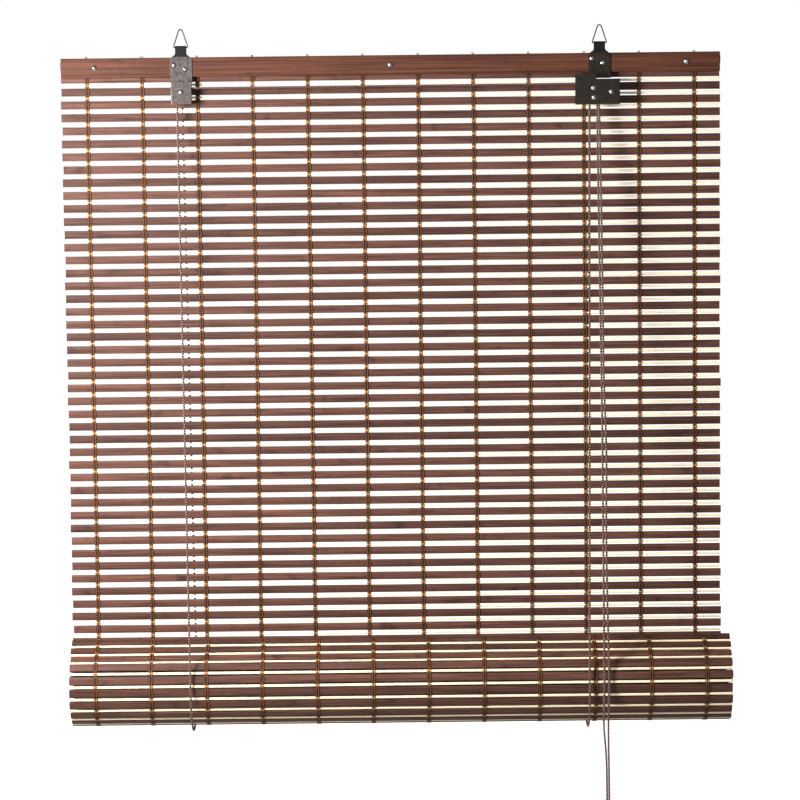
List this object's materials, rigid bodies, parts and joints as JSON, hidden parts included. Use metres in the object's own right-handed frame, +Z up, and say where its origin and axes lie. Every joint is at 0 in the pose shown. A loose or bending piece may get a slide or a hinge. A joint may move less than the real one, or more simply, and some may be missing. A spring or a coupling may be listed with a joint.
{
  "type": "bamboo roll up blind",
  "caption": "Woven bamboo slat blind on two wire hanging rings, half rolled up, with lift cords, pulley, cord lock and pull cords.",
  "frame": {"origin": "midway between the two hanging rings, on the inner top of their wire, where the hooks bear", "axes": "+X along the slats to the right as seen from the front, -Y to the front, +Z up"},
  "size_m": [0.805, 0.1242, 1.0022],
  "materials": {
    "dark_bamboo": "stained bamboo, satin",
    "pale_stick": "bare bamboo stick",
    "rail_wood": "stained wood, satin lacquer",
    "thread": "twisted cotton",
    "cord": "twisted cord",
    "screw_steel": "zinc plated",
    "rivet_steel": "bright steel",
    "gunmetal": "grey lacquered steel",
    "bronze_black": "dark lacquered steel",
    "wire": "plated wire",
    "pulley_plastic": "moulded",
    "cam_metal": "stamped"
  },
  "bodies": {
    "head": {"cross_cord": "cord", "fixed_back_threads": "thread", "fixed_front_threads": "thread", "fixed_slats": "dark_bamboo", "fixed_sticks": "pale_stick", "hanging_back_threads": "thread", "hanging_front_threads": "thread", "hanging_slats": "dark_bamboo", "hanging_sticks": "pale_stick", "head_rail_back": "rail_wood", "head_rail_front": "rail_wood", "left_axle": "rivet_steel", "left_hanger": "gunmetal", "left_hanger_rivets": "rivet_steel", "left_lift_back": "cord", "left_lift_front": "cord", "left_pull_run": "cord", "left_pulley_housing": "gunmetal", "lock_axle": "rivet_steel", "lock_cam_pivot": "rivet_steel", "lock_housing": "bronze_black", "lock_pin": "rivet_steel", "lock_turn_cord": "cord", "rail_screws": "screw_steel", "rear_cord_knots": "cord", "rear_screw_eyes": "wire", "right_hanger": "bronze_black", "right_hanger_rivets": "rivet_steel", "right_lift_back": "cord", "right_lift_front": "cord", "right_pull_run": "cord"},
    "carriage": {"turn_slats": "dark_bamboo", "turn_sticks": "pale_stick", "turn_front_threads": "thread", "turn_back_threads": "thread", "left_sling": "cord", "right_sling": "cord", "left_pull_tail": "cord", "right_pull_tail": "cord", "pull_cord_coil": "cord", "pull_cord_ends": "cord", "coil_tie": "cord", "cord_end_knot": "cord"},
    "roll": {"rolled_slats": "dark_bamboo", "rolled_sticks": "pale_stick", "rolled_front_threads": "thread", "rolled_back_threads": "thread", "bottom_rail_front": "rail_wood", "bottom_rail_back": "rail_wood", "bottom_rail_slat": "dark_bamboo", "bottom_rail_screws": "screw_steel"},
    "left_pulley": {"left_pulley": "pulley_plastic"},
    "lock_pulley": {"lock_pulley": "pulley_plastic"},
    "lock_cam": {"lock_cam": "cam_metal"},
    "left_ring": {"left_ring": "wire"},
    "right_ring": {"right_ring": "wire"}
  },
  "joints": [
    {"name": "roll_lift", "type": "slide", "parent": "head", "child": "carriage", "axis": [0, 0, 1], "range_m": [0, 0.64], "deforming": ["hanging_slats", "hanging_sticks", "hanging_front_threads", "hanging_back_threads", "left_lift_front", "right_lift_front", "left_lift_back", "right_lift_back", "left_pull_run", "right_pull_run"]},
    {"name": "roll_spin", "type": "hinge", "parent": "carriage", "child": "roll", "pos_m": [0, -0.04983, -0.7878], "axis": [1, 0, 0], "range_deg": [-720, 0]},
    {"name": "left_pulley_spin", "type": "hinge", "parent": "head", "child": "left_pulley", "pos_m": [-0.253, -0.0064, -0.0748], "axis": [0, 1, 0], "continuous": true},
    {"name": "lock_pulley_spin", "type": "hinge", "parent": "head", "child": "lock_pulley", "pos_m": [0.2452, -0.0081, -0.0748], "axis": [0, 1, 0], "continuous": true},
    {"name": "lock_cam_turn", "type": "hinge", "parent": "head", "child": "lock_cam", "pos_m": [0.2665, -0.0081, -0.0796], "axis": [0, 1, 0], "range_deg": [-35, 0]},
    {"name": "left_ring_swing", "type": "hinge", "parent": "head", "child": "left_ring", "pos_m": [-0.253, 0, -0.02081], "axis": [1, 0, 0], "range_deg": [-80, 80]},
    {"name": "right_ring_swing", "type": "hinge", "parent": "head", "child": "right_ring", "pos_m": [0.253, 0, -0.02081], "axis": [1, 0, 0], "range_deg": [-80, 80]}
  ],
  "couplings": [
    {"joint": "roll_spin", "follows": "roll_lift", "rad_per_m": -19.634}
  ]
}
